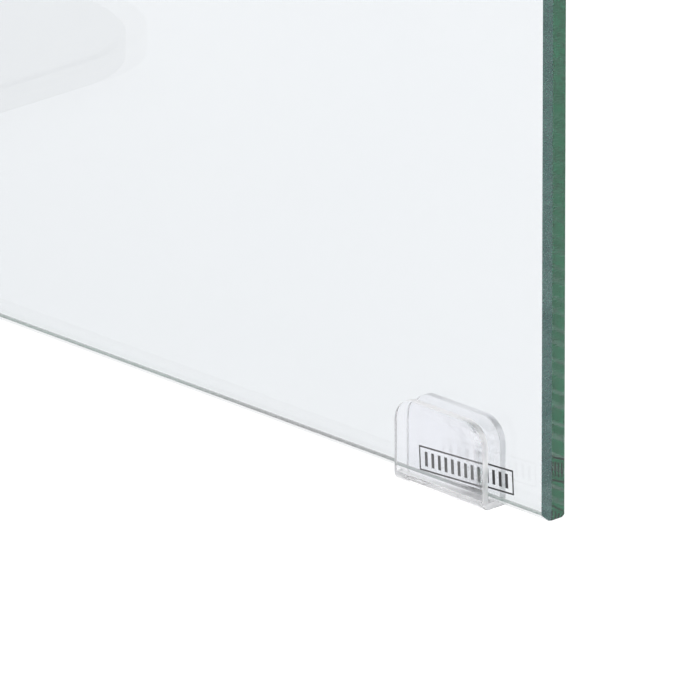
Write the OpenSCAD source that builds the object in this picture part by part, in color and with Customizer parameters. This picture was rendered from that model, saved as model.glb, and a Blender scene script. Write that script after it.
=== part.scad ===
// Countertop sneeze guard. A toughened glass pane hangs from two stainless posts on hinges that
// clamp by knobs. Clear push-on clips guard its bottom edge, and the posts stand on flat bar feet.
// Millimetres. X runs along the pane, -Y is the customer's side, +Z is up from the counter.
// Left and right pieces are mirror images: side is -1 for left and 1 for right.

/* [Pane] */
// Length of the glass pane
pane_w = 914; // [860:1:1200]
// Height of the glass pane
pane_h = 457; // [380:1:600]
// Thickness of the glass
glass_t = 6; // [5:0.5:8]
// Width of the ground arris on the glass edges
arris = 1; // [0.5:0.1:1.5]
// Bore of the fixing holes in the glass
glass_hole_d = 12; // [11:0.5:14]
// Height of the glass above the counter
glass_z = 12; // [11:0.5:60]

/* [Edge clips] */
// Length of a clip along the glass edge
clip_w = 24.2; // [16:0.1:40]
// Height of a clip's flanges above its underside
clip_h = 17.1; // [12:0.1:30]
// Thickness of a clip's flanges
clip_flange_t = 1.45; // [1.2:0.05:3]
// Thickness of a clip's web under the glass
clip_web_t = 1.6; // [1:0.1:3]
// Corner radius of a clip's flanges
clip_corner_r = 5; // [2:0.5:7]
// Distance from the pane's end to a clip
clip_inset = 15.4; // [5:0.1:60]

/* [Posts] */
// Distance between the posts' centres
post_spacing = 350; // [300:5:520]
// Outer diameter of a post
post_d = 25.4; // [22:0.1:32]
// Wall of a post
post_wall = 1.6; // [1.2:0.1:3]
// Width of a bar foot
foot_w = 50; // [46:1:60]
// Thickness of a bar foot
foot_t = 6; // [5:0.5:6.5]
// Reach of a foot in front of the pane
foot_front = 146; // [130:1:180]
// Reach of a foot behind the pane's front face
foot_back = 82; // [80:1:110]
// Diameter of a rubber pad under a foot
pad_d = 24; // [20:1:30]
// Thickness of a rubber pad under a foot
foot_pad_t = 3; // [2:0.5:4]
// Height of a post's socket above its foot
socket_h = 18; // [14:1:30]
// Diameter of a bolt hole in a foot
bolt_hole_d = 5.5; // [4:0.1:6]
// Distance between a foot's two bolt holes
bolt_spacing = 60; // [50:1:70]
// Diameter of the tie bar
tie_d = 12.7; // [9:0.1:16]
// Height of the tie bar's centre below the hinge axis
tie_drop = 76; // [60:1:160]
// Height of the stop studs above the counter
stop_z = 62; // [50:1:120]

/* [Hinges] */
// Distance from the pane's top edge down to the hinge axis
axis_drop = 45; // [42:1:60]
// Diameter of the pivot pin
pin_d = 8; // [6:0.5:9]
// Radius of the rounded ends of the tongue and the forks
eye_r = 12; // [10:0.5:12.5]
// Thickness of the tongue on a post head
tongue_t = 18; // [14:1:20]
// Thickness of one ear of a hinge leaf
ear_t = 5; // [4:0.5:6]
// Width of a hinge leaf and of a clamp plate
leaf_w = 36; // [34:1:40]
// Height of a hinge leaf and of a clamp plate
leaf_h = 64; // [60:1:70]
// Thickness of a hinge leaf's plate
leaf_t = 4; // [3:0.5:5]
// Thickness of a clamp plate
clamp_t = 3; // [2:0.5:4]
// Thickness of the pads between metal and glass
pad_t = 1.5; // [1:0.25:2]
// Distance between the two clamp screws of a hinge
screw_pitch = 40; // [38:1:44]
// Diameter of a clamp screw
screw_d = 6; // [5:0.5:6]
// Outer radius of a lock knob
knob_r = 16; // [14:0.5:17]

/* [Hidden] */
$fn = 64;

SIDES = [-1, 1];

// Clearances between pieces: laid together, running on a pin, and moving past each other
lay_gap = 0.1;
run_gap = 0.06;
move_gap = 0.3;

// Clamp screws and grub screws
screw_head_r = 5.5;
screw_head_h = 3;
screw_key_af = 4;
grub_d = 5;
grub_len = 4;
grub_key_af = 2.5;
bush_wall = glass_hole_d / 2 - lay_gap - screw_d / 2 - lay_gap;

// Places across the depth, from the pane's front face backwards
leaf_y = glass_t + pad_t;
leaf_back_y = leaf_y + leaf_t;
axis_gap = 16.5;
axis_y = leaf_back_y + axis_gap;
head_lean = 18;
post_y = axis_y + head_lean;
screw_y = -pad_t - clamp_t - screw_head_h;
mid_y = (foot_back - foot_front) / 2;
front_bolt_y = foot_w / 2 - foot_front + pad_d / 2 + 12;

// Heights from the counter
glass_top = glass_z + pane_h;
clip_z = glass_z - lay_gap - clip_web_t;
axis_z = glass_top - axis_drop;
foot_top = foot_pad_t + foot_t;
socket_top = foot_top + socket_h;
head_collar_h = 8;
post_top = axis_z - 26;
tie_z = axis_z - tie_drop;
spigot_len = 20;

// Places along the hinge axis, outwards from the post's centre plane
post_x = post_spacing / 2;
washer_t = 1.1;
ear_in = tongue_t / 2 + washer_t + 2 * lay_gap;
ear_out = ear_in + ear_t;
knob_in = ear_out + move_gap;
knob_hub_h = 4.4;
knob_body_h = 12;
knob_cap_h = 1.5;
insert_len = 14;
pin_head_h = 5;
pin_head_r = 7;
pin_reach = knob_in + insert_len - 1;

post_r = post_d / 2;
socket_r = post_r + 4.3;
tie_socket_r = tie_d / 2 + 2.6;
tie_socket_len = 14;

// Puts a shape that is drawn from the pane's front face at its place in the frame
module from_glass() {
    translate([0, -mid_y, 0]) children();
}

// Centres a hinge's own shapes on its axis at the pane's front face, +X pointing outwards
module at_hinge(side) {
    from_glass()
        translate([side * post_x, 0, axis_z])
            mirror([side < 0 ? 1 : 0, 0, 0])
                children();
}

// A cylinder along +X from x0 to x1
module bar_x(r, x0, x1, sides = 64) {
    translate([x0, 0, 0])
        rotate([0, 90, 0])
            cylinder(r = r, h = x1 - x0, $fn = sides);
}

// A cylinder along +Y from y0 to y1
module bar_y(r, y0, y1, sides = 64) {
    translate([0, y0, 0])
        rotate([-90, 0, 0])
            cylinder(r = r, h = y1 - y0, $fn = sides);
}

// Extrudes an outline drawn in Y and Z along +X from x0 to x1
module extrude_x(x0, x1) {
    translate([x0, 0, 0])
        rotate([90, 0, 90])
            linear_extrude(x1 - x0)
                children();
}

// Extrudes an outline drawn in X and Z along +Y from y0 to y1
module extrude_y(y0, y1) {
    translate([0, y1, 0])
        rotate([90, 0, 0])
            linear_extrude(y1 - y0)
                children();
}

// A rectangle w by h centred on the origin with round corners
module round_rect(w, h, r) {
    square([w - 2 * r, h], center = true);
    square([w, h - 2 * r], center = true);
    for (x = [-1, 1], y = [-1, 1])
        translate([x * (w / 2 - r), y * (h / 2 - r)])
            circle(r = r);
}

// A rectangle from the origin to [w, h] with straight cut corners
module cut_rect(w, h, c) {
    polygon([[c, 0], [w - c, 0], [w, c], [w, h - c], [w - c, h], [c, h], [0, h - c], [0, c]]);
}

// The places of the two clamp screws of a hinge, in its own frame
module at_clamp_screws() {
    for (z = [-1, 1])
        translate([0, 0, z * screw_pitch / 2])
            children();
}

// The places along Y of a foot's two rubber pads and of its two bolt holes
PAD_PLACES = [foot_w / 2 - foot_front, foot_back - foot_w / 2];
BOLT_PLACES = [front_bolt_y, front_bolt_y + bolt_spacing];

// ---- Glass and clips ----

module glass_pane() {
    color([0.78, 0.92, 0.88, 0.35])
        from_glass()
            difference() {
                translate([-pane_w / 2, 0, glass_z])
                    intersection() {
                        extrude_x(0, pane_w) cut_rect(glass_t, pane_h, arris);
                        linear_extrude(pane_h) cut_rect(pane_w, glass_t, arris);
                        extrude_y(0, glass_t) cut_rect(pane_w, pane_h, arris);
                    }
                for (side = SIDES)
                    translate([side * post_x, 0, axis_z])
                        at_clamp_screws()
                            bar_y(glass_hole_d / 2, -1, glass_t + 1);
            }
}

// The U section of a clip in Y and Z, with its mouth up round the glass
module clip_section() {
    depth = glass_t + 2 * (lay_gap + clip_flange_t);
    foot_r = clip_web_t;
    difference() {
        translate([glass_t / 2, clip_h / 2])
            union() {
                translate([0, foot_r / 2])
                    square([depth, clip_h - foot_r], center = true);
                square([depth - 2 * foot_r, clip_h], center = true);
                for (y = [-1, 1])
                    translate([y * (depth / 2 - foot_r), foot_r - clip_h / 2])
                        circle(r = foot_r);
            }
        translate([-lay_gap, clip_web_t])
            square([glass_t + 2 * lay_gap, clip_h]);
    }
}

// The outline of a clip's flanges in X and Z, with round top corners
module clip_outline() {
    square([clip_w, clip_h - clip_corner_r]);
    translate([clip_corner_r, 0])
        square([clip_w - 2 * clip_corner_r, clip_h]);
    for (x = [clip_corner_r, clip_w - clip_corner_r])
        translate([x, clip_h - clip_corner_r])
            circle(r = clip_corner_r);
}

module edge_clip(side) {
    reach = clip_flange_t + 1;
    color([0.93, 0.93, 0.97, 0.5])
        from_glass()
            mirror([side < 0 ? 1 : 0, 0, 0])
                translate([pane_w / 2 - clip_inset - clip_w, 0, clip_z])
                    intersection() {
                        extrude_x(0, clip_w) clip_section();
                        extrude_y(-reach, glass_t + reach) clip_outline();
                    }
}

// ---- Hinge leaves and what clamps the glass ----

// An ear of a leaf in Y and Z, from the plate back to the round eye on the axis
module ear_outline() {
    polygon([
        [leaf_back_y - lay_gap, -leaf_h / 4 - 2],
        [axis_y, -eye_r],
        [axis_y, eye_r],
        [leaf_back_y - lay_gap, leaf_h / 4 + 2]]);
    translate([axis_y, 0])
        circle(r = eye_r);
}

module hinge_leaf(side) {
    color([0.72, 0.73, 0.74])
        at_hinge(side)
            difference() {
                union() {
                    extrude_y(leaf_y, leaf_back_y) round_rect(leaf_w, leaf_h, 6);
                    extrude_x(-ear_out, -ear_in) ear_outline();
                    extrude_x(ear_in, ear_out) ear_outline();
                }
                translate([0, axis_y, 0])
                    bar_x(pin_d / 2 + run_gap, -ear_out - 1, ear_out + 1);
                at_clamp_screws()
                    bar_y(screw_d / 2 + lay_gap / 2, leaf_y - 1, leaf_back_y + 1);
            }
}

// A plate or pad on one face of the glass with its two screw holes
module clamp_layer(side, y0, y1, inset) {
    at_hinge(side)
        difference() {
            extrude_y(y0, y1) round_rect(leaf_w - 2 * inset, leaf_h - 2 * inset, 6);
            at_clamp_screws()
                bar_y(screw_d / 2 + 2 * lay_gap, y0 - 1, y1 + 1);
        }
}

module clamp_plate(side) {
    color([0.76, 0.77, 0.78]) clamp_layer(side, -pad_t - clamp_t, -pad_t, 0);
}

module rear_gasket(side) {
    color([0.12, 0.12, 0.12]) clamp_layer(side, glass_t, leaf_y, 0.6);
}

module front_gasket(side) {
    color([0.12, 0.12, 0.12]) clamp_layer(side, -pad_t, 0, 0.6);
}

module clamp_screws() {
    color([0.66, 0.67, 0.68])
        for (side = SIDES)
            at_hinge(side)
                at_clamp_screws()
                    difference() {
                        union() {
                            bar_y(screw_d / 2, -pad_t - clamp_t, leaf_back_y);
                            bar_y(screw_head_r - 1, screw_y, -pad_t - clamp_t);
                            bar_y(screw_head_r, screw_y + 1, -pad_t - clamp_t);
                        }
                        bar_y(screw_key_af / sqrt(3), screw_y - 1, screw_y + 2, 6);
                    }
}

module glass_bushes() {
    color([0.9, 0.9, 0.88, 0.6])
        for (side = SIDES)
            at_hinge(side)
                at_clamp_screws()
                    difference() {
                        bar_y(screw_d / 2 + lay_gap + bush_wall, lay_gap, glass_t - lay_gap);
                        bar_y(screw_d / 2 + lay_gap, -1, glass_t + 1);
                    }
}

// ---- Feet and posts ----

module foot_pads(side) {
    color([0.13, 0.13, 0.13])
        from_glass()
            for (y = PAD_PLACES)
                translate([side * post_x, y, 0])
                    rotate_extrude()
                        polygon([
                            [0, 0],
                            [pad_d / 2 - 0.5, 0],
                            [pad_d / 2, 0.5],
                            [pad_d / 2, foot_pad_t],
                            [0, foot_pad_t]]);
}

// A foot's outline, a bar with round ends, drawn smaller by inset
module foot_outline(inset) {
    translate([-foot_w / 2 + inset, PAD_PLACES[0]])
        square([foot_w - 2 * inset, PAD_PLACES[1] - PAD_PLACES[0]]);
    for (y = PAD_PLACES)
        translate([0, y])
            circle(r = foot_w / 2 - inset, $fn = 96);
}

module foot_bar(side) {
    csk = 2.6;
    edge = 1;
    color([0.74, 0.75, 0.76])
        from_glass()
            translate([side * post_x, 0, 0])
                difference() {
                    union() {
                        translate([0, 0, foot_pad_t])
                            linear_extrude(foot_t - edge) foot_outline(0);
                        translate([0, 0, foot_pad_t])
                            linear_extrude(foot_t) foot_outline(edge);
                    }
                    for (y = BOLT_PLACES)
                        translate([0, y, foot_pad_t - 1]) {
                            cylinder(d = bolt_hole_d, h = foot_t + 2);
                            translate([0, 0, foot_t + 1 - csk])
                                cylinder(r1 = bolt_hole_d / 2, r2 = bolt_hole_d / 2 + csk, h = csk);
                        }
                }
}

// A ring welded to the foot, with a flared skirt, that holds the end of the post
module post_socket(side) {
    bore_r = post_r + lay_gap / 2;
    color([0.74, 0.75, 0.76])
        from_glass()
            translate([side * post_x, post_y, 0])
                difference() {
                    rotate_extrude($fn = 96)
                        polygon([
                            [bore_r, foot_top],
                            [socket_r + 2, foot_top],
                            [socket_r + 2, foot_top + 1],
                            [socket_r, foot_top + 3],
                            [socket_r, socket_top - 1],
                            [socket_r - 1, socket_top],
                            [bore_r, socket_top]]);
                    translate([0, 0, socket_top - 8])
                        bar_y(grub_d / 2 + lay_gap / 2, post_r - 1, socket_r + 1);
                }
}

module post(side) {
    foot = foot_top + lay_gap;
    color([0.78, 0.79, 0.8])
        from_glass()
            translate([side * post_x, post_y, 0])
                difference() {
                    translate([0, 0, foot])
                        cylinder(r = post_r, h = post_top - foot);
                    translate([0, 0, foot - 1])
                        cylinder(r = post_r - post_wall, h = post_top - foot + 2);
                    translate([0, 0, post_top - 10])
                        bar_y(grub_d / 2 + lay_gap / 2, 0, post_r + 1);
                    translate([0, 0, stop_z])
                        bar_y(grub_d / 2 + lay_gap / 2, -post_r - 1, 0);
                }
}

// The tongue of a head in Y and Z, leaning forward from the collar to the pivot eye
module tongue_outline() {
    collar_top = post_top + head_collar_h - axis_z;
    polygon([
        [axis_y - eye_r, 0],
        [axis_y - eye_r * 0.5, -eye_r * 0.87],
        [post_y - post_r + 1, collar_top - 1],
        [post_y + post_r - 4, collar_top - 1],
        [axis_y + eye_r * 0.8, eye_r * 0.6],
        [axis_y, 0]]);
    translate([axis_y, 0])
        circle(r = eye_r);
}

module post_head(side) {
    spigot_r = post_r - post_wall - lay_gap;
    chamfer = 1;
    color([0.74, 0.75, 0.76])
        at_hinge(side)
            difference() {
                union() {
                    translate([0, post_y, post_top - axis_z])
                        rotate_extrude()
                            polygon([
                                [0, -spigot_len],
                                [spigot_r - chamfer, -spigot_len],
                                [spigot_r, chamfer - spigot_len],
                                [spigot_r, 0],
                                [post_r, 0],
                                [post_r, head_collar_h - chamfer],
                                [post_r - chamfer, head_collar_h],
                                [0, head_collar_h]]);
                    extrude_x(-tongue_t / 2, tongue_t / 2) tongue_outline();
                }
                translate([0, axis_y, 0])
                    bar_x(pin_d / 2 + lay_gap / 2, -tongue_t, tongue_t);
                translate([0, post_y, post_top - axis_z - 10])
                    bar_y(grub_d / 2 + lay_gap / 2, post_r - post_wall - grub_len, post_r);
            }
}

module set_screws() {
    places = [[socket_top - 8, post_r + lay_gap], [post_top - 10, post_r - grub_len]];
    color([0.3, 0.3, 0.31])
        from_glass()
            for (side = SIDES, place = places)
                translate([side * post_x, post_y, place[0]])
                    difference() {
                        bar_y(grub_d / 2, place[1], place[1] + grub_len);
                        bar_y(grub_key_af / sqrt(3), place[1] + grub_len - 2, place[1] + grub_len + 1, 6);
                    }
}

// ---- Pivots and knobs ----

module pivot_pin(side) {
    head_in = ear_out + lay_gap;
    color([0.66, 0.67, 0.68])
        at_hinge(side)
            translate([0, axis_y, 0]) {
                bar_x(pin_d / 2, -head_in - 1, pin_reach);
                bar_x(pin_head_r, -head_in - pin_head_h, -head_in, 6);
            }
}

module pivot_washers(side) {
    in = tongue_t / 2 + lay_gap;
    color([0.86, 0.84, 0.78])
        at_hinge(side)
            translate([0, axis_y, 0])
                for (x0 = [-in - washer_t, in])
                    difference() {
                        bar_x(eye_r - 1, x0, x0 + washer_t);
                        bar_x(pin_d / 2 + lay_gap, x0 - 1, x0 + washer_t + 1);
                    }
}

// The grip of a knob: a round middle with five lobes
module knob_outline() {
    lobe_r = 5;
    circle(r = knob_r - 4);
    for (i = [0:4])
        rotate(i * 72)
            translate([knob_r - lobe_r, 0])
                circle(r = lobe_r);
}

module lock_knob(side) {
    body_x = knob_in + knob_hub_h;
    cap_x = body_x + knob_body_h;
    color([0.08, 0.08, 0.08])
        at_hinge(side)
            translate([0, axis_y, 0])
                difference() {
                    union() {
                        bar_x(8.5, knob_in, body_x + 1);
                        extrude_x(body_x, cap_x) knob_outline();
                        bar_x(8, cap_x - 1, cap_x + knob_cap_h);
                    }
                    bar_x(pin_d / 2 + 2, knob_in - 1, knob_in + insert_len + 0.5);
                }
}

module knob_insert(side) {
    color([0.78, 0.62, 0.3])
        at_hinge(side)
            translate([0, axis_y, 0])
                difference() {
                    bar_x(pin_d / 2 + 2 - lay_gap / 2, knob_in, knob_in + insert_len);
                    bar_x(pin_d / 2 + run_gap, knob_in - 1, knob_in + insert_len + 1);
                }
}

// ---- Tie bar and stops ----

module tie_bar() {
    end = post_x - post_r - 1;
    color([0.78, 0.79, 0.8])
        from_glass()
            translate([0, post_y, tie_z])
                difference() {
                    bar_x(tie_d / 2, -end, end);
                    bar_x(tie_d / 2 - 1.2, -end - 1, end + 1);
                }
}

module tie_socket(side) {
    face = post_r + tie_socket_len;
    color([0.74, 0.75, 0.76])
        from_glass()
            translate([side * post_x, post_y, tie_z])
                mirror([side < 0 ? 1 : 0, 0, 0])
                    difference() {
                        union() {
                            bar_x(tie_socket_r, 1 - face, -post_r / 2);
                            bar_x(tie_socket_r - 1, -face, -post_r / 2);
                        }
                        bar_x(tie_d / 2 + lay_gap / 2, -face - 1, -post_r - 0.5);
                        translate([0, 0, -tie_d])
                            cylinder(r = post_r + lay_gap / 2, h = 2 * tie_d);
                    }
}

module stop_stud(side) {
    stud_r = 5;
    reach = post_y - 12;
    color([0.74, 0.75, 0.76])
        from_glass()
            translate([side * post_x, post_y, stop_z]) {
                difference() {
                    bar_y(stud_r, -reach, -post_r / 2);
                    translate([0, 0, -stud_r - 1])
                        cylinder(r = post_r + lay_gap / 2, h = 2 * stud_r + 2);
                }
                bar_y(2.4, 1.5 - post_r, 3 - post_r);
                bar_y(2.4, -post_r - 2, 2 - post_r);
                bar_y(3, -reach - 2.5, 1 - reach);
            }
}

module stop_tip(side) {
    front = glass_t + move_gap;
    color([0.1, 0.1, 0.1])
        from_glass()
            translate([side * post_x, 0, stop_z])
                difference() {
                    union() {
                        bar_y(6.5, front, 12 - lay_gap);
                        bar_y(7.5, front + 1, 12 - lay_gap);
                    }
                    bar_y(3 + lay_gap / 2, 9.4, 13);
                }
}

glass_pane();
edge_clip(-1);  // edge_clip_left
edge_clip(1);  // edge_clip_right
hinge_leaf(-1);  // hinge_leaf_left
hinge_leaf(1);  // hinge_leaf_right
clamp_plate(-1);  // clamp_plate_left
clamp_plate(1);  // clamp_plate_right
rear_gasket(-1);  // rear_gasket_left
rear_gasket(1);  // rear_gasket_right
front_gasket(-1);  // front_gasket_left
front_gasket(1);  // front_gasket_right
clamp_screws();
glass_bushes();
foot_pads(-1);  // foot_pads_left
foot_pads(1);  // foot_pads_right
foot_bar(-1);  // foot_bar_left
foot_bar(1);  // foot_bar_right
post_socket(-1);  // post_socket_left
post_socket(1);  // post_socket_right
post(-1);  // post_left
post(1);  // post_right
post_head(-1);  // post_head_left
post_head(1);  // post_head_right
pivot_pin(-1);  // pivot_pin_left
pivot_pin(1);  // pivot_pin_right
pivot_washers(-1);  // pivot_washers_left
pivot_washers(1);  // pivot_washers_right
lock_knob(-1);  // lock_knob_left
lock_knob(1);  // lock_knob_right
knob_insert(-1);  // knob_insert_left
knob_insert(1);  // knob_insert_right
tie_bar();
tie_socket(-1);  // tie_socket_left
tie_socket(1);  // tie_socket_right
stop_stud(-1);  // stop_stud_left
stop_stud(1);  // stop_stud_right
stop_tip(-1);  // stop_tip_left
stop_tip(1);  // stop_tip_right
set_screws();
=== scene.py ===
"""Countertop sneeze guard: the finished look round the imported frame. Metres, in the frame's own axes:
X along the pane, -Y the customer's side, +Z up from the counter."""

import math

import bmesh
import bpy
from mathutils import Matrix, Vector


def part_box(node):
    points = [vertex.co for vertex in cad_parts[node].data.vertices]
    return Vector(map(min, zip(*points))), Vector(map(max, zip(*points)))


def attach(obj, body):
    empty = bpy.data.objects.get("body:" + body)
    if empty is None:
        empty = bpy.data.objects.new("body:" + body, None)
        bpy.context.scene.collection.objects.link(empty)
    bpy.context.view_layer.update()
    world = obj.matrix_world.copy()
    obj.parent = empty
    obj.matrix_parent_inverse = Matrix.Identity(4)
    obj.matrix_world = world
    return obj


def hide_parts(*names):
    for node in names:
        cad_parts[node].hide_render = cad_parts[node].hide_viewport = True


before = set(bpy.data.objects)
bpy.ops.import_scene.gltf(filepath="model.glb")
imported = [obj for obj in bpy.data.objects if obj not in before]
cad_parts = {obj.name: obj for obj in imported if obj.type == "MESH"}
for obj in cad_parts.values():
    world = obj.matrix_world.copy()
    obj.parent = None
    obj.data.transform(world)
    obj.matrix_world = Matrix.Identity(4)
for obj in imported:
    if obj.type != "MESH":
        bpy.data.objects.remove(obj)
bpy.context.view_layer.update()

MM = 0.001
SIDES = ("left", "right")
scene = bpy.context.scene

# ---- Camera: a long lens on the lower right corner of the pane ----

AZIMUTH, ELEVATION = math.radians(46.5), math.radians(20.2)
DISTANCE = 4.7
FIELD = 131.58 * MM  # what the frame's width takes in at the corner
AIM_RIGHT, AIM_UP = -36.73 * MM, 32.45 * MM  # from the glass corner to the middle of the frame
SENSOR = 36.0  # millimetres, as the lens is
FAR = 1000.0

pane_low, pane_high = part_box("glass_pane")
pane_corner = Vector((pane_high.x, pane_low.y, pane_low.z))


def make_camera():
    """A camera DISTANCE away from the pane's corner, which sits AIM away from the middle of the frame."""
    back = Vector((
        math.sin(AZIMUTH) * math.cos(ELEVATION),
        -math.cos(AZIMUTH) * math.cos(ELEVATION),
        math.sin(ELEVATION),
    ))
    right = Vector((math.cos(AZIMUTH), math.sin(AZIMUTH), 0))
    up = back.cross(right)
    data = bpy.data.cameras.new("camera")
    data.sensor_width = SENSOR
    data.lens = SENSOR * DISTANCE / FIELD
    data.clip_end = FAR
    camera = bpy.data.objects.new("camera", data)
    scene.collection.objects.link(camera)
    camera.location = pane_corner + right * AIM_RIGHT + up * AIM_UP + back * DISTANCE
    camera.rotation_euler = (-back).to_track_quat("-Z", "Y").to_euler()
    scene.camera = camera


# ---- Node tools ----


class Tree:
    """A node tree with short calls for what the materials repeat. A socket is named, or numbered as #0."""

    def __init__(self, tree):
        self.tree = tree
        self.nodes = tree.nodes
        self.nodes.clear()

    def add(self, kind, **inputs):
        """A new node, its sockets set or linked by name."""
        node = self.nodes.new(kind)
        for name, value in inputs.items():
            self.put(node, name.replace("_", " "), value)
        return node

    def put(self, node, name, value):
        """Links value to a socket, or sets it there."""
        socket = node.inputs[int(name[1:])] if name[0] == "#" else node.inputs[name]
        if isinstance(value, bpy.types.NodeSocket):
            self.tree.links.new(value, socket)
        else:
            socket.default_value = value

    def math(self, operation, a, b=0.0):
        node = self.nodes.new("ShaderNodeMath")
        node.operation = operation
        self.put(node, "#0", a)
        self.put(node, "#1", b)
        return node.outputs[0]

    def vector(self, operation, a, b):
        node = self.nodes.new("ShaderNodeVectorMath")
        node.operation = operation
        self.put(node, "#0", a)
        self.put(node, "#1", b)
        return node.outputs["Value" if operation in ("DOT_PRODUCT", "LENGTH") else "Vector"]

    def place(self, scale=(1, 1, 1), centre=(0, 0, 0), turn=(0, 0, 0)):
        """The row's own coordinates about centre, stretched by scale."""
        coords = self.add("ShaderNodeTexCoord").outputs["Object"]
        moved = self.vector("SUBTRACT", coords, centre)
        return self.add("ShaderNodeMapping", Vector=moved, Rotation=turn, Scale=scale).outputs[0]

    def noise(self, vector, scale, detail=3.0, roughness=0.5):
        return self.add(
            "ShaderNodeTexNoise", Vector=vector, Scale=scale, Detail=detail, Roughness=roughness
        ).outputs["Fac"]

    def span(self, value, low, high, start=0.0, end=1.0):
        """value from low..high to start..end, clamped."""
        node = self.nodes.new("ShaderNodeMapRange")
        for name, number in (("From Min", low), ("From Max", high), ("To Min", start), ("To Max", end)):
            node.inputs[name].default_value = number
        self.put(node, "Value", value)
        return node.outputs[0]

    def mix(self, factor, a, b):
        node = self.nodes.new("ShaderNodeMix")
        node.data_type = "RGBA"
        self.put(node, "#0", factor)
        self.put(node, "#6", a)
        self.put(node, "#7", b)
        return node.outputs[2]

    def bump(self, height, strength, distance):
        return self.add(
            "ShaderNodeBump", Height=height, Strength=strength, Distance=distance
        ).outputs[0]


def new_material(name):
    """A material with a Principled shader, and what its nodes are added to."""
    material = bpy.data.materials.new(name)
    material.use_nodes = True
    tree = Tree(material.node_tree)
    shader = tree.add("ShaderNodeBsdfPrincipled")
    out = tree.add("ShaderNodeOutputMaterial")
    tree.tree.links.new(shader.outputs[0], out.inputs["Surface"])
    return material, tree, shader, out


def settle(tree, shader, **values):
    """Sets or links the shader's sockets."""
    for name, value in values.items():
        tree.put(shader, name.replace("_", " "), value)


# ---- Glass and clear plastic ----

GLASS_IOR = 1.52
GLASS_COLOUR = (0.15, 0.58, 0.44, 1)
GLASS_DENSITY = 4.0
GRIND_SLANT = (math.radians(-20), 0, 0)


def absorb(tree, out):
    """The green that glass takes on in depth."""
    volume = tree.add("ShaderNodeVolumeAbsorption", Color=GLASS_COLOUR, Density=GLASS_DENSITY)
    tree.tree.links.new(volume.outputs[0], out.inputs["Volume"])


def glass_face():
    """The two large faces, clear and very slightly veiled."""
    material, tree, shader, out = new_material("glass_face")
    veil = tree.noise(tree.place(), 14.0, 2.0)
    colour = tree.mix(veil, (0.812, 0.826, 0.855, 1), (0.828, 0.84, 0.863, 1))
    settle(tree, shader, Base_Color=colour, Roughness=0.0, IOR=GLASS_IOR, Transmission_Weight=1.0)
    absorb(tree, out)
    return material


def glass_edge():
    """The flat of the end, polished in slanting bands."""
    material, tree, shader, out = new_material("glass_edge")
    bands = tree.noise(tree.place((1, 90, 700), turn=GRIND_SLANT), 1.0, 4.0, 0.6)
    fine = tree.noise(tree.place((1, 300, 2600), turn=GRIND_SLANT), 1.0, 3.0)
    colour = tree.mix(tree.span(bands, 0.35, 0.65), (0.42, 0.9, 0.72, 1), (1, 1, 1, 1))
    settle(
        tree, shader, Base_Color=colour,
        Roughness=tree.span(fine, 0.3, 0.7, 0.0, 0.02), IOR=GLASS_IOR, Transmission_Weight=1.0,
        Normal=tree.bump(fine, 0.04, 0.0001),
    )
    absorb(tree, out)
    return material


def glass_arris():
    """The ground bevels of the ends and the holes: a grey-green grind, its dark tones partly a painted shade
    for the dim light the rough face gathers.
    """
    material, tree, shader, out = new_material("glass_arris")
    grain = tree.noise(tree.place(), 2200.0, 3.0, 0.6)
    streaks = tree.noise(tree.place((240, 240, 900)), 1.0, 3.0, 0.6)
    blotch = tree.noise(tree.place(), 160.0, 3.0)
    streaked = tree.span(streaks, 0.3, 0.72, 0.15, 0.45)
    shade = tree.math("ADD", streaked, tree.span(blotch, 0.35, 0.65, 0.05, 0.4))
    settle(
        # Painted shade: the dark grey-green is partly the grind's own colour and partly stands for light the
        # rough face gathers from dim places.
        tree, shader, Base_Color=tree.mix(shade, (0.1, 0.3, 0.3, 1), (0.44, 0.72, 0.7, 1)),
        Roughness=tree.span(grain, 0.3, 0.7, 0.24, 0.32), IOR=GLASS_IOR, Transmission_Weight=0.8,
        Normal=tree.bump(grain, 0.05, 0.0001),
    )
    absorb(tree, out)
    return material


def glass_bevel():
    """The flats and bevels of the long edges, polished almost clear."""
    material, tree, shader, out = new_material("glass_bevel")
    streaks = tree.noise(tree.place((60, 900, 900)), 1.0, 4.0)
    settle(
        tree, shader, Base_Color=tree.mix(streaks, (0.84, 0.84, 0.845, 1), (0.88, 0.88, 0.885, 1)),
        Roughness=tree.span(streaks, 0.3, 0.7, 0.02, 0.08), IOR=GLASS_IOR, Transmission_Weight=1.0,
        Normal=tree.bump(streaks, 0.06, 0.0001),
    )
    absorb(tree, out)
    return material


def seam_with_painted_shade():
    """The fine matt lines where a bevel meets the front face and the flat, their grey a painted shade for the
    dark line the edge shows.
    """
    material, tree, shader, out = new_material("seam_with_painted_shade")
    chips = tree.noise(tree.place((0.3, 1, 1)), 3000.0, 3.0, 0.7)
    # Painted shade: the seam's grey stands for the dark line the edge shows under light.
    colour = tree.mix(tree.span(chips, 0.35, 0.65), (0.5, 0.505, 0.52, 1), (0.68, 0.685, 0.7, 1))
    settle(
        tree, shader, Base_Color=colour,
        Roughness=tree.span(chips, 0.3, 0.7, 0.14, 0.26), IOR=GLASS_IOR, Transmission_Weight=0.6,
        Normal=tree.bump(chips, 0.2, 0.0001),
    )
    absorb(tree, out)
    return material


def clear_plastic():
    """The clips' moulded faces, and the bushes."""
    material, tree, shader, _ = new_material("clear_plastic")
    flow = tree.noise(tree.place((1, 1, 0.5)), 90.0, 2.0)
    haze = tree.noise(tree.place(), 700.0, 3.0)
    settle(
        tree, shader, Base_Color=tree.mix(haze, (0.975, 0.97, 0.99, 1), (0.99, 0.985, 1, 1)),
        Roughness=tree.span(haze, 0.3, 0.7, 0.0, 0.012), IOR=1.45, Transmission_Weight=1.0,
        Normal=tree.bump(flow, 0.02, 0.0003),
    )
    return material


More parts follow.
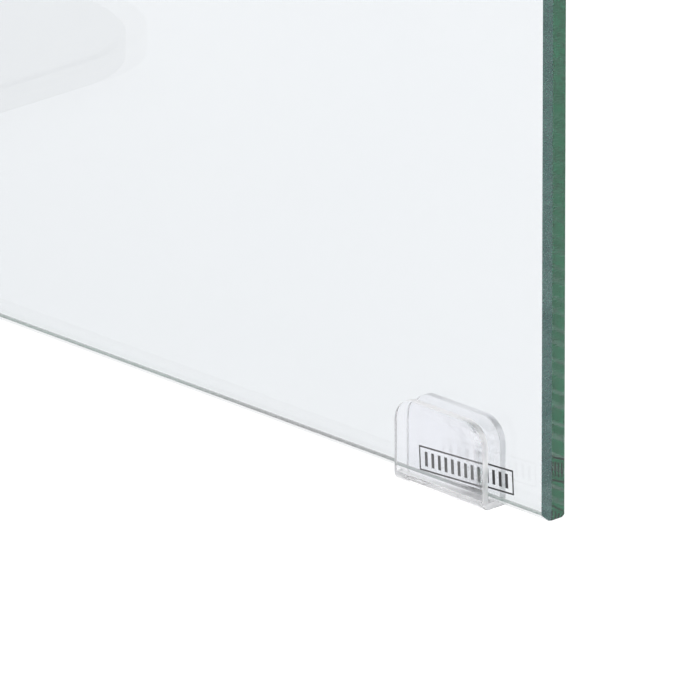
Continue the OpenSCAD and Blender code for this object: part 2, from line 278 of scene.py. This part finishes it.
def satin_plastic():
    """The sawn edges of the clips, which scatter the light."""
    material, tree, shader, _ = new_material("satin_plastic")
    saw = tree.noise(tree.place((900, 900, 2400)), 1.0, 3.0, 0.6)
    settle(
        tree, shader, Base_Color=tree.mix(saw, (0.97, 0.97, 0.995, 1), (0.985, 0.985, 1, 1)),
        Roughness=tree.span(saw, 0.3, 0.7, 0.28, 0.36), IOR=1.38, Transmission_Weight=0.85,
        Normal=tree.bump(saw, 0.03, 0.0001),
    )
    return material


def printed_ink():
    """Black ink, unevenly fired on to the glass."""
    material, tree, shader, _ = new_material("printed_ink")
    patches = tree.noise(tree.place(), 2400.0, 3.0)
    settle(
        tree, shader, Base_Color=tree.mix(patches, (0.006, 0.006, 0.007, 1), (0.03, 0.03, 0.032, 1)),
        Roughness=tree.span(patches, 0.3, 0.7, 0.35, 0.6),
    )
    return material


# ---- Metals, rubber and black plastic ----


STEEL = (0.52, 0.515, 0.505)
STEEL_DARK = tuple(shade * 0.86 for shade in STEEL)
FINE_BUMP = 0.06 * MM


def brushed(name, stretch):
    """Stainless steel with a grain drawn out along the axis whose stretch is small."""
    material, tree, shader, _ = new_material(name)
    grain = tree.noise(tree.place(stretch), 1.0, 5.0, 0.6)
    cloud = tree.noise(tree.place(), 22.0, 3.0)
    polish = tree.span(grain, 0.25, 0.75, 0.18, 0.3)
    settle(
        tree, shader, Base_Color=tree.mix(grain, (*STEEL_DARK, 1), (*STEEL, 1)), Metallic=1.0,
        Roughness=tree.math("ADD", polish, tree.span(cloud, 0.3, 0.7, -0.03, 0.04)),
        Normal=tree.bump(grain, 0.12, FINE_BUMP),
    )
    return material


def turned(name, centre):
    """Stainless steel with a grain in rings round a vertical axis through centre."""
    material, tree, shader, _ = new_material(name)
    flat = tree.vector("MULTIPLY", tree.place(centre=centre), (1, 1, 0))
    radius = tree.vector("LENGTH", flat, (0, 0, 0))
    height = tree.add("ShaderNodeSeparateXYZ", Vector=tree.place()).outputs["Z"]
    across, along = (tree.math("MULTIPLY", way, 3200.0) for way in (radius, height))
    rings = tree.add("ShaderNodeCombineXYZ", X=across, Y=along)
    grain = tree.noise(rings.outputs[0], 1.0, 4.0, 0.6)
    cloud = tree.noise(tree.place(), 60.0, 3.0)
    polish = tree.span(grain, 0.25, 0.75, 0.18, 0.32)
    settle(
        tree, shader, Metallic=1.0,
        Base_Color=tree.mix(grain, (0.44, 0.437, 0.43, 1), (0.54, 0.535, 0.525, 1)),
        Roughness=tree.math("ADD", polish, tree.span(cloud, 0.3, 0.7, -0.03, 0.05)),
        Normal=tree.bump(grain, 0.12, FINE_BUMP),
    )
    return material


def cast():
    """Satin investment casting: a fine pebbled skin, brighter on worn edges."""
    material, tree, shader, _ = new_material("casting")
    grain = tree.noise(tree.place(), 1500.0, 4.0, 0.65)
    cloud = tree.noise(tree.place(), 70.0, 3.0)
    worn = tree.span(tree.add("ShaderNodeNewGeometry").outputs["Pointiness"], 0.5, 0.56)
    colour = tree.mix(cloud, (0.37, 0.37, 0.366, 1), (0.46, 0.457, 0.45, 1))
    settle(
        tree, shader, Base_Color=tree.mix(worn, colour, (0.6, 0.595, 0.585, 1)), Metallic=1.0,
        Roughness=tree.span(grain, 0.3, 0.7, 0.32, 0.46), Normal=tree.bump(grain, 0.25, 0.00012),
    )
    return material


def rubber():
    """Black rubber with a matt skin and a little dust."""
    material, tree, shader, _ = new_material("rubber")
    grain = tree.noise(tree.place(), 1900.0, 4.0, 0.7)
    dust = tree.noise(tree.place(), 120.0, 4.0)
    settle(
        tree, shader, Base_Color=tree.mix(dust, (0.016, 0.016, 0.017, 1), (0.04, 0.04, 0.041, 1)),
        Roughness=tree.span(grain, 0.3, 0.7, 0.6, 0.8), Normal=tree.bump(grain, 0.3, 0.0001),
    )
    return material


def black_plastic():
    """Moulded black plastic with a spark-eroded grain."""
    material, tree, shader, _ = new_material("black_plastic")
    grain = tree.add("ShaderNodeTexVoronoi", Vector=tree.place(), Scale=1700.0).outputs["Distance"]
    cloud = tree.noise(tree.place(), 90.0, 3.0)
    settle(
        tree, shader, Base_Color=tree.mix(cloud, (0.012, 0.012, 0.013, 1), (0.026, 0.026, 0.027, 1)),
        Roughness=tree.span(grain, 0.1, 0.6, 0.34, 0.5), Normal=tree.bump(grain, 0.3, 0.00012),
    )
    return material


def plain_grain(name, low, high, roughness, metallic=0.0):
    """A fine even grain between two colours, for small parts."""
    material, tree, shader, _ = new_material(name)
    grain = tree.noise(tree.place(), 1400.0, 4.0, 0.6)
    settle(
        tree, shader, Base_Color=tree.mix(grain, (*low, 1), (*high, 1)), Metallic=metallic,
        Roughness=tree.span(grain, 0.3, 0.7, *roughness), Normal=tree.bump(grain, 0.12, FINE_BUMP),
    )
    return material


# ---- Mesh tools ----


def link_mesh(name, mesh):
    """A new object of the mesh, in the scene."""
    piece = bpy.data.objects.new(name, mesh)
    scene.collection.objects.link(piece)
    return piece


def mesh_from(bm, name):
    """Turns a finished bmesh into a mesh."""
    mesh = bpy.data.meshes.new(name)
    bm.to_mesh(mesh)
    bm.free()
    return mesh


def apply_modifiers(piece):
    """Bakes a piece's modifiers into its mesh."""
    bpy.context.view_layer.update()
    graph = bpy.context.evaluated_depsgraph_get()
    mesh = bpy.data.meshes.new_from_object(piece.evaluated_get(graph), depsgraph=graph)
    mesh.name = piece.name
    piece.modifiers.clear()
    piece.data = mesh


def carve(piece, operation, tool):
    """Carves a piece with a tool, which is then thrown away."""
    boolean = piece.modifiers.new("carve", "BOOLEAN")
    boolean.operation = operation
    boolean.solver = "EXACT"
    boolean.object = tool
    apply_modifiers(piece)
    bpy.data.objects.remove(tool)


def wrap(bm, near, far):
    """Closes the space between two matching outlines, each a list of points."""
    near = [bm.verts.new(point) for point in near]
    far = [bm.verts.new(point) for point in far]
    bm.faces.new(near)
    bm.faces.new(reversed(far))
    for i in range(len(near)):
        j = (i + 1) % len(near)
        bm.faces.new((near[j], near[i], far[i], far[j]))


def arc(centre, radius, start, end, steps):
    """Points on an arc, in degrees from the first axis towards the second."""
    turn = [math.radians(start + (end - start) * i / steps) for i in range(steps + 1)]
    return [(centre[0] + radius * math.cos(t), centre[1] + radius * math.sin(t)) for t in turn]


def round_edges(piece, width, segments=2, angle=30):
    """Rounds a piece's edges that are sharper than angle, in degrees."""
    bevel = piece.modifiers.new("round_edges", "BEVEL")
    bevel.width = width
    bevel.segments = segments
    bevel.limit_method = "ANGLE"
    bevel.angle_limit = math.radians(angle)


# ---- The pane ----

ARRIS = 1.07 * MM  # how far an end arris takes from a face
END_ARRIS = 1.6 * MM  # how far a front end arris takes from the end
LONG_ARRIS = 1.1 * MM  # how far a long bevel takes from the front
BACK_ARRIS = 0.3 * MM  # how far a long bevel takes from the back
DUB = 0.35 * MM  # what is ground off the back corners
DUB_LEAN = (1.0, 0.55, 0.8)  # how the ground corner leans out, back and up
SEAM, SEAM_DROP = 0.7 * MM, 0.03 * MM  # the matt line along the front of a long bevel, greyed with painted shade
LIP, LIP_LEAN = 0.06 * MM, 0.8  # the fine matt line that ends a long bevel, greyed with painted shade
HOLE_RADIUS, BUSH_RADIUS = 6 * MM, 5.9 * MM
HOLE_SIDES = 96
CUT_TOLERANCE = 1e-7
FACE, END_FLAT, GROUND, BEVEL, MATT_PAINTED_SHADE = range(5)


def pane_body():
    """The pane cut out of a block, plane by plane, each cut leaving one face with its own material."""
    low, high = pane_low, pane_high
    middle = (low + high) / 2
    half = (high - low) / 2
    bm = bmesh.new()
    bmesh.ops.create_cube(bm, size=2, matrix=Matrix.Translation(middle) @ Matrix.Diagonal((*half, 1)))
    for face in bm.faces:
        n = face.normal
        face.material_index = FACE if abs(n.y) > 0.5 else (END_FLAT if abs(n.x) > 0.5 else BEVEL)

    def cut(point, normal, kind):
        plane = {"plane_co": middle + Vector(point), "plane_no": Vector(normal).normalized()}
        geometry = bm.verts[:] + bm.edges[:] + bm.faces[:]
        outline = bmesh.ops.bisect_plane(
            bm, geom=geometry, dist=CUT_TOLERANCE, clear_outer=True, **plane)["geom_cut"]
        edges = [item for item in outline if isinstance(item, bmesh.types.BMEdge)]
        for face in bmesh.ops.contextual_create(bm, geom=edges)["faces"]:
            face.material_index = kind

    hx, hy, hz = half
    for end in (-1, 1):
        for back in (-1, 1):
            drop = BACK_ARRIS if back > 0 else LONG_ARRIS
            cut((0, back * hy, end * (hz - drop)), (0, back, end), BEVEL)
            run = ARRIS if back > 0 else END_ARRIS
            cut((end * (hx - ARRIS), back * hy, 0), (end * run, back * ARRIS, 0), GROUND)
        cut((0, -hy, end * (hz - LONG_ARRIS - SEAM)), (0, -SEAM, end * SEAM_DROP), MATT_PAINTED_SHADE)
        cut((0, -hy + LONG_ARRIS - LIP, end * (hz - LIP)), (0, -LIP_LEAN, end), MATT_PAINTED_SHADE)
    for end in (-1, 1):
        for top in (-1, 1):
            corner = (end * (hx - DUB), hy - ARRIS, top * hz)
            out, back, up = DUB_LEAN
            cut(corner, (end * out, back, top * up), GROUND)
    bmesh.ops.recalc_face_normals(bm, faces=bm.faces)
    return mesh_from(bm, "clear_pane")


def hole_centres():
    """The middles of the glass holes, from the bushes that line them."""
    low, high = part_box("glass_bushes")
    across = (low.x + BUSH_RADIUS, high.x - BUSH_RADIUS)
    upward = (low.z + BUSH_RADIUS, high.z - BUSH_RADIUS)
    return [(x, z) for x in across for z in upward]


def make_pane(materials):
    """The pane with its drilled holes, whose walls are ground."""
    piece = link_mesh("clear_pane", pane_body())
    bm = bmesh.new()
    depth = pane_high.y - pane_low.y
    middle = (pane_low.y + pane_high.y) / 2
    for x, z in hole_centres():
        bmesh.ops.create_cone(
            bm, cap_ends=True, segments=HOLE_SIDES, radius1=HOLE_RADIUS, radius2=HOLE_RADIUS, depth=depth * 2,
            matrix=Matrix.Translation((x, middle, z)) @ Matrix.Rotation(math.pi / 2, 4, "X"))
    for hole_face in bm.faces:
        hole_face.material_index = GROUND
    drills = link_mesh("drills", mesh_from(bm, "drills"))
    for material in materials:
        piece.data.materials.append(material)
        drills.data.materials.append(material)
    carve(piece, "DIFFERENCE", drills)
    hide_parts("glass_pane")
    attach(piece, "pane")


# ---- The printed mark: a plain outline round a row of plain bars ----

MARK_SIZE = Vector((24.9 * MM, 4.95 * MM))
MARK_MIDDLE = Vector((-21.1 * MM, 4.92 * MM))  # from the pane's lower right corner
MARK_TILT = math.radians(3.07)
MARK_LINE = 0.34 * MM
BARS, BAR_SHARE = 13, 0.42  # how many bars, and how much of its pitch a bar takes
BAR_HEIGHT, BAR_MARGIN = 2.9 * MM, 1.0 * MM
INK_PROUD, INK_SUNK = 0.012 * MM, 0.02 * MM


def make_mark(ink):
    """The mark, a little proud of the glass and sunk in it, so that its reflection shows in the end."""
    bm = bmesh.new()

    def block(x, z, width, height):
        left, right = x - width / 2, x + width / 2
        bottom, top = z - height / 2, z + height / 2
        corners = [(left, bottom), (right, bottom), (right, top), (left, top)]
        wrap(bm, [(a, -INK_PROUD, b) for a, b in corners], [(a, INK_SUNK, b) for a, b in corners])

    w, h = MARK_SIZE
    for end in (-1, 1):
        block(0, end * (h - MARK_LINE) / 2, w, MARK_LINE)
        block(end * (w - MARK_LINE) / 2, 0, MARK_LINE, h - 2 * MARK_LINE)
    pitch = (w - 2 * BAR_MARGIN) / BARS
    for i in range(BARS):
        block((i - (BARS - 1) / 2) * pitch, 0, pitch * BAR_SHARE, BAR_HEIGHT)
    bmesh.ops.recalc_face_normals(bm, faces=bm.faces)
    mesh = mesh_from(bm, "printed_mark")
    place = Matrix.Translation(pane_corner + Vector((MARK_MIDDLE.x, 0, MARK_MIDDLE.y)))
    mesh.transform(place @ Matrix.Rotation(-MARK_TILT, 4, "Y"))
    mesh.materials.append(ink)
    piece = link_mesh("printed_mark", mesh)
    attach(piece, "pane")


# ---- The clear clips ----


CLIP_CORNER, CORNER_STEPS = 5 * MM, 14  # the flanges' round upper corners
CLIP_HEEL, HEEL_STEPS = 1.6 * MM, 8  # the round lower corners of the channel
CLIP_FIT = 0.1 * MM  # between the slot and the glass
CLIP_EASE = 0.15 * MM  # how far its edges are eased
OVERRUN = 5 * MM  # how far a carving shape reaches past what it carves


def clip_outline(low, high):
    """The clip from the front: square below, round above."""
    r = CLIP_CORNER
    outline = [(low.x, low.z), (high.x, low.z)]
    outline += arc((high.x - r, high.z - r), r, 0, 90, CORNER_STEPS)
    outline += arc((low.x + r, high.z - r), r, 90, 180, CORNER_STEPS)
    return outline


def clip_section(low, high, web_top):
    """The channel from the end: a U whose slot holds the glass."""
    r = CLIP_HEEL
    front, back = pane_low.y - CLIP_FIT, pane_high.y + CLIP_FIT
    open_top = high.z + OVERRUN
    section = arc((low.y + r, low.z + r), r, 180, 270, HEEL_STEPS)
    section += arc((high.y - r, low.z + r), r, 270, 360, HEEL_STEPS)
    section += [(high.y, open_top), (back, open_top), (back, web_top)]
    section += [(front, web_top), (front, open_top), (low.y, open_top)]
    return section


def prism(name, near, far):
    """A closed prism between two matching outlines."""
    bm = bmesh.new()
    wrap(bm, near, far)
    bmesh.ops.recalc_face_normals(bm, faces=bm.faces)
    return link_mesh(name, mesh_from(bm, name))


def make_clip(name, clear, satin):
    """A clip sawn from a channel: where its outline and the channel's section meet."""
    low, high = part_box(name)
    web_top = pane_low.z - CLIP_FIT
    outline, section = clip_outline(low, high), clip_section(low, high, web_top)
    depth = (low.y - OVERRUN, high.y + OVERRUN)
    length = (low.x - OVERRUN, high.x + OVERRUN)
    piece = prism("clear_" + name, *([(x, y, z) for x, z in outline] for y in depth))
    carve(piece, "INTERSECT", prism("channel", *([(x, y, z) for y, z in section] for x in length)))
    round_edges(piece, CLIP_EASE, 3, 40)
    apply_modifiers(piece)
    piece.data.materials.append(clear)
    piece.data.materials.append(satin)
    for polygon in piece.data.polygons:
        polygon.use_smooth = True
        sawn = abs(polygon.normal.y) < 0.95 and polygon.center.z > web_top - CLIP_FIT
        polygon.material_index = int(sawn)
    piece.data.set_sharp_from_angle(angle=math.radians(25))
    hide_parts(name)
    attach(piece, name.replace("edge_", ""))


# ---- Carried-over nodes ----


def finish(node, material, width=0.0, segments=2):
    """Gives a carried-over node its material, and rounds its sharp edges by width, in millimetres."""
    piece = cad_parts[node]
    piece.data.materials.clear()
    piece.data.materials.append(material)
    if width:
        flat = piece.modifiers.new("join_flats", "DECIMATE")
        flat.decimate_type = "DISSOLVE"
        flat.angle_limit = math.radians(0.5)
        round_edges(piece, width * MM, segments)
    for polygon in piece.data.polygons:
        polygon.use_smooth = True


# ---- Floor, world and lights ----

FLOOR_SIZE = 300.0
FLOOR_GLOW = 0.71  # the table is lit from below as well, which keeps its shadows soft
OVERHEAD, HORIZON = 0.8, 1.05  # how bright the studio is
WALL, FLAGS = 0.7, 0.3  # how bright the wall behind the camera and the side flags are, as shares of it
BOUNCES, SEE_THROUGH = 128, 16  # light passes many faces in the clear pieces


def make_floor():
    """A plain pale table."""
    mesh = bpy.data.meshes.new("floor")
    s = FLOOR_SIZE / 2
    mesh.from_pydata([(-s, -s, 0), (s, -s, 0), (s, s, 0), (-s, s, 0)], [], [(0, 1, 2, 3)])
    material, tree, shader, _ = new_material("floor")
    grain = tree.noise(tree.place(), 500.0, 3.0)
    settle(
        tree, shader, Base_Color=tree.mix(grain, (0.5, 0.5, 0.5, 1), (0.52, 0.52, 0.52, 1)), Roughness=0.9,
        Specular_IOR_Level=0.2, Emission_Color=(1, 1, 1, 1), Emission_Strength=FLOOR_GLOW,
    )
    mesh.materials.append(material)
    floor = link_mesh("floor", mesh)


def make_world():
    """A white studio, dimmer overhead, with a grey flag at each side and a grey wall behind the camera."""
    world = bpy.data.worlds.new("studio")
    scene.world = world
    world.use_nodes = True
    tree = Tree(world.node_tree)
    direction = tree.add("ShaderNodeTexCoord").outputs["Generated"]
    parts = tree.add("ShaderNodeSeparateXYZ", Vector=direction).outputs
    dome = tree.span(parts["Z"], 0.3, 0.9, HORIZON, OVERHEAD)
    toward = tree.vector("DOT_PRODUCT", direction, (math.sin(AZIMUTH), -math.cos(AZIMUTH), 0))
    wall = tree.span(toward, 0.8, 0.97, 1.0, WALL)
    aside = tree.math("ABSOLUTE", parts["X"])
    flag = tree.math("MULTIPLY", tree.span(aside, 0.8, 0.9), tree.span(aside, 0.93, 1.0, 1.0, 0.3))
    flag = tree.math("MULTIPLY", flag, tree.span(parts["Z"], 0.25, 0.55, 1.0, 0.0))
    strength = tree.math("MULTIPLY", dome, tree.math("MULTIPLY", wall, tree.span(flag, 0.0, 1.0, 1.0, FLAGS)))
    background = tree.add("ShaderNodeBackground", Color=(1, 1, 1, 1), Strength=strength)
    out = tree.add("ShaderNodeOutputWorld")
    tree.tree.links.new(background.outputs[0], out.inputs["Surface"])
    scene.view_settings.view_transform = "Standard"
    scene.cycles.max_bounces = BOUNCES
    scene.cycles.transmission_bounces = BOUNCES
    scene.cycles.glossy_bounces = BOUNCES
    scene.cycles.transparent_max_bounces = SEE_THROUGH


# ---- Making it all ----

make_camera()
make_floor()
make_world()
make_pane([glass_face(), glass_edge(), glass_arris(), glass_bevel(), seam_with_painted_shade()])
make_mark(printed_ink())
plastic, satin = clear_plastic(), satin_plastic()
for side in SIDES:
    make_clip("edge_clip_" + side, plastic, satin)

tube_x = brushed("brushed_bar", (60, 2600, 2600))
tube_z = brushed("brushed_post", (2600, 2600, 60))
plate = brushed("brushed_plate", (2600, 2600, 60))
foot_plate = brushed("brushed_foot", (2600, 60, 2600))
bright = plain_grain("bright_steel", (0.58, 0.58, 0.575), (0.7, 0.7, 0.69), (0.12, 0.2), 1.0)
casting = cast()
black_rubber = rubber()
black = black_plastic()
brass = plain_grain("brass", (0.55, 0.4, 0.15), (0.7, 0.53, 0.22), (0.2, 0.3), 1.0)
natural = plain_grain("friction_washer", (0.62, 0.6, 0.54), (0.72, 0.7, 0.63), (0.4, 0.55))
oxide = plain_grain("black_oxide", (0.03, 0.03, 0.032), (0.06, 0.06, 0.062), (0.3, 0.45), 1.0)

PAIRS = {  # material, and how far its edges are rounded in millimetres
    "foot_bar": (foot_plate, 0.3),
    "foot_pads": (black_rubber, 0),
    "post": (tube_z, 0.2),
    "post_head": (casting, 0.5),
    "pivot_pin": (bright, 0.3),
    "pivot_washers": (natural, 0.1),
    "lock_knob": (black, 1.0, 3),
    "knob_insert": (brass, 0),
    "hinge_leaf": (casting, 0.5),
    "clamp_plate": (plate, 0.4),
    "rear_gasket": (black_rubber, 0),
    "front_gasket": (black_rubber, 0),
    "tie_socket": (casting, 0.2),
    "stop_stud": (bright, 0.2),
    "stop_tip": (black_rubber, 0.4),
}
for side in SIDES:
    low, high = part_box("post_socket_" + side)
    finish("post_socket_" + side, turned("turned_socket_" + side, tuple((low + high) / 2)), 0.3)
    for node, look in PAIRS.items():
        finish(node + "_" + side, *look)
finish("tie_bar", tube_x)
finish("clamp_screws", bright, 0.3)
finish("glass_bushes", plastic)
finish("set_screws", oxide)
